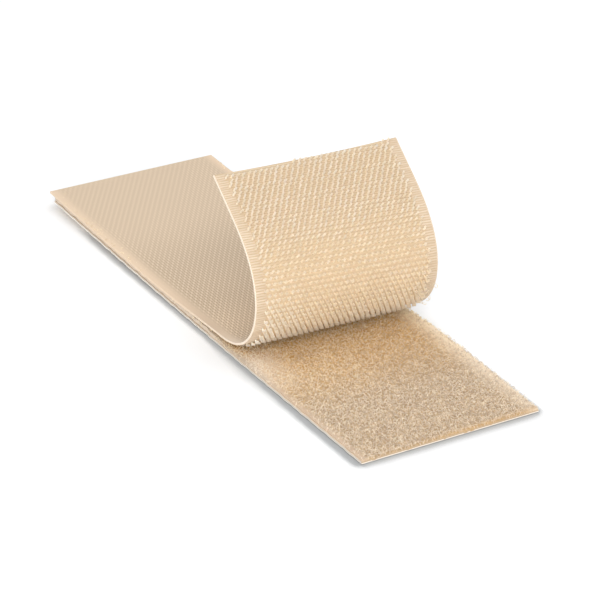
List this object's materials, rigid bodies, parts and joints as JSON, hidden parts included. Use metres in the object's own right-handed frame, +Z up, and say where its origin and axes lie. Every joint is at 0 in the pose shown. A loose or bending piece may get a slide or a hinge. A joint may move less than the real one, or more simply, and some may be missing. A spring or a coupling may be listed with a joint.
{
  "type": "hook and loop tape",
  "caption": "Flat strip of woven loop tape with an equal strip of hook tape pressed onto it and peeled back in a curl at one end; a cloth fastener that opens and closes.",
  "frame": {"origin": "centre of the loop strip's back face, on the surface it lies on", "axes": "+X along the strips towards the peeled end, +Y across them, +Z up from the loop strip's back to its pile"},
  "size_m": [0.1625, 0.0528, 0.0443],
  "materials": {
    "loop_weave": "woven, matte, tan",
    "loop_pile": "napped loops, matte, tan",
    "hook_weave": "woven, matte, beige",
    "hook_rows": "drawn filament, satin, cream"
  },
  "bodies": {
    "loop_tape": {"loop_weave": "loop_weave", "loop_pile": "loop_pile"},
    "hook_tape_01": {"hook_weave_01": "hook_weave", "hook_rows_01": "hook_rows"},
    "hook_tape_02": {"hook_weave_02": "hook_weave", "hook_rows_02": "hook_rows"},
    "hook_tape_03": {"hook_weave_03": "hook_weave", "hook_rows_03": "hook_rows"},
    "hook_tape_04": {"hook_weave_04": "hook_weave", "hook_rows_04": "hook_rows"},
    "hook_tape_05": {"hook_weave_05": "hook_weave", "hook_rows_05": "hook_rows"},
    "hook_tape_06": {"hook_weave_06": "hook_weave", "hook_rows_06": "hook_rows"},
    "hook_tape_07": {"hook_weave_07": "hook_weave", "hook_rows_07": "hook_rows"},
    "hook_tape_08": {"hook_weave_08": "hook_weave", "hook_rows_08": "hook_rows"},
    "hook_tape_09": {"hook_weave_09": "hook_weave", "hook_rows_09": "hook_rows"},
    "hook_tape_10": {"hook_weave_10": "hook_weave", "hook_rows_10": "hook_rows"},
    "hook_tape_11": {"hook_weave_11": "hook_weave", "hook_rows_11": "hook_rows"},
    "hook_tape_12": {"hook_weave_12": "hook_weave", "hook_rows_12": "hook_rows"},
    "hook_tape_13": {"hook_weave_13": "hook_weave", "hook_rows_13": "hook_rows"},
    "hook_tape_14": {"hook_weave_14": "hook_weave", "hook_rows_14": "hook_rows"},
    "hook_tape_15": {"hook_weave_15": "hook_weave", "hook_rows_15": "hook_rows"},
    "hook_tape_16": {"hook_weave_16": "hook_weave", "hook_rows_16": "hook_rows"},
    "hook_tape_17": {"hook_weave_17": "hook_weave", "hook_rows_17": "hook_rows"}
  },
  "joints": [
    {"name": "lift_off", "type": "slide", "parent": "loop_tape", "child": "hook_tape_01", "axis": [0, 0, 1], "range_m": [0, 0.03]},
    {"name": "peel_1", "type": "hinge", "parent": "hook_tape_01", "child": "hook_tape_02", "pos_m": [-0.06238, 0, 0.00335], "axis": [-0.0401, -0.9992, 0], "range_deg": [0, 20]},
    {"name": "peel_2", "type": "hinge", "parent": "hook_tape_02", "child": "hook_tape_03", "pos_m": [-0.04225, 0, 0.00335], "axis": [-0.0401, -0.9992, 0], "range_deg": [0, 20]},
    {"name": "peel_3", "type": "hinge", "parent": "hook_tape_03", "child": "hook_tape_04", "pos_m": [-0.02213, 0, 0.00335], "axis": [-0.0401, -0.9992, 0], "range_deg": [0, 20]},
    {"name": "peel_4", "type": "hinge", "parent": "hook_tape_04", "child": "hook_tape_05", "pos_m": [-0.00201, 0, 0.00335], "axis": [-0.0401, -0.9992, 0], "range_deg": [0, 20]},
    {"name": "curl_01", "type": "hinge", "parent": "hook_tape_05", "child": "hook_tape_06", "pos_m": [0.01812, 0, 0.00335], "axis": [-0.0401, -0.9992, 0], "range_deg": [-12.41, 2.5]},
    {"name": "curl_02", "type": "hinge", "parent": "hook_tape_06", "child": "hook_tape_07", "pos_m": [0.02234, 0, 0.00428], "axis": [-0.0401, -0.9992, 0], "range_deg": [-12.41, 2.5]},
    {"name": "curl_03", "type": "hinge", "parent": "hook_tape_07", "child": "hook_tape_08", "pos_m": [0.02544, 0.00002, 0.00571], "axis": [-0.0401, -0.9992, 0], "range_deg": [-12.41, 2.5]},
    {"name": "curl_04", "type": "hinge", "parent": "hook_tape_08", "child": "hook_tape_09", "pos_m": [0.02789, 0.00004, 0.00757], "axis": [-0.0401, -0.9992, 0], "range_deg": [-12.41, 2.5]},
    {"name": "curl_05", "type": "hinge", "parent": "hook_tape_09", "child": "hook_tape_10", "pos_m": [0.0298, 0.00008, 0.00982], "axis": [-0.0401, -0.9992, 0], "range_deg": [-12.41, 2.5]},
    {"name": "curl_06", "type": "hinge", "parent": "hook_tape_10", "child": "hook_tape_11", "pos_m": [0.03116, 0.00015, 0.01238], "axis": [-0.0401, -0.9992, 0], "range_deg": [-12.41, 2.5]},
    {"name": "curl_07", "type": "hinge", "parent": "hook_tape_11", "child": "hook_tape_12", "pos_m": [0.03195, 0.00023, 0.01521], "axis": [-0.0401, -0.9992, 0], "range_deg": [-12.41, 2.5]},
    {"name": "curl_08", "type": "hinge", "parent": "hook_tape_12", "child": "hook_tape_13", "pos_m": [0.03212, 0.00035, 0.01826], "axis": [-0.0401, -0.9992, 0], "range_deg": [-12.41, 2.5]},
    {"name": "curl_09", "type": "hinge", "parent": "hook_tape_13", "child": "hook_tape_14", "pos_m": [0.0316, 0.0005, 0.02149], "axis": [-0.0401, -0.9992, 0], "range_deg": [-12.41, 2.5]},
    {"name": "curl_10", "type": "hinge", "parent": "hook_tape_14", "child": "hook_tape_15", "pos_m": [0.03026, 0.0007, 0.02485], "axis": [-0.0401, -0.9992, 0], "range_deg": [-12.41, 2.5]},
    {"name": "curl_11", "type": "hinge", "parent": "hook_tape_15", "child": "hook_tape_16", "pos_m": [0.02785, 0.00097, 0.02842], "axis": [-0.0401, -0.9992, 0], "range_deg": [-12.41, 2.5]},
    {"name": "curl_12", "type": "hinge", "parent": "hook_tape_16", "child": "hook_tape_17", "pos_m": [0.02346, 0.00139, 0.03258], "axis": [-0.0401, -0.9992, 0], "range_deg": [-12.41, 2.5]}
  ],
  "couplings": [
    {"joint": "peel_2", "follows": "peel_1", "ratio": 1},
    {"joint": "peel_3", "follows": "peel_1", "ratio": 1},
    {"joint": "peel_4", "follows": "peel_1", "ratio": 1},
    {"joint": "curl_02", "follows": "curl_01", "ratio": 1},
    {"joint": "curl_03", "follows": "curl_01", "ratio": 1},
    {"joint": "curl_04", "follows": "curl_01", "ratio": 1},
    {"joint": "curl_06", "follows": "curl_05", "ratio": 1},
    {"joint": "curl_07", "follows": "curl_05", "ratio": 1},
    {"joint": "curl_08", "follows": "curl_05", "ratio": 1},
    {"joint": "curl_10", "follows": "curl_09", "ratio": 1},
    {"joint": "curl_11", "follows": "curl_09", "ratio": 1},
    {"joint": "curl_12", "follows": "curl_09", "ratio": 1}
  ]
}
